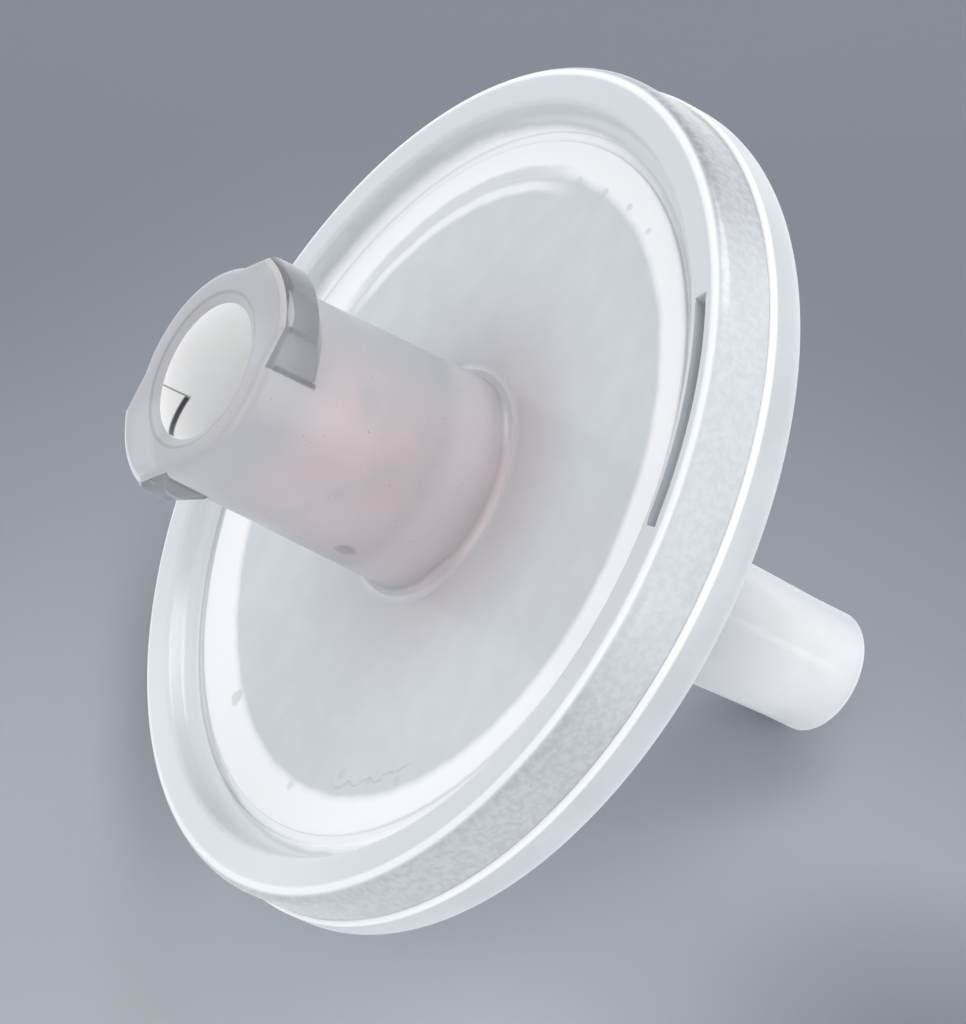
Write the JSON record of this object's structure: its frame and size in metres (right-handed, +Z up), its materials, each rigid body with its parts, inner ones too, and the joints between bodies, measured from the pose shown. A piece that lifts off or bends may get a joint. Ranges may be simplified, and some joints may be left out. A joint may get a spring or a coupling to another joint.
{
  "type": "syringe filter",
  "caption": "Disc-shaped syringe filter: welded half shells around a membrane, with a female luer-lock inlet and a male luer outlet.",
  "frame": {"origin": "on the bench, under the middle of the part's box as it lies on its rim and its outlet tip", "axes": "+Z up from the bench; the flow axis lies in the XZ plane with the inlet up towards -X and the outlet tip down at +X; +Y along the disc's level diameter"},
  "size_m": [0.0222, 0.027, 0.0221],
  "materials": {
    "inlet_housing": "milky translucent polypropylene, smooth",
    "outlet_housing": "milky translucent polypropylene, finely grained edge band",
    "membrane": "smooth matt porous polymer film"
  },
  "bodies": {
    "root": {"inlet_housing": "inlet_housing", "outlet_housing": "outlet_housing", "membrane": "membrane"}
  },
  "joints": []
}
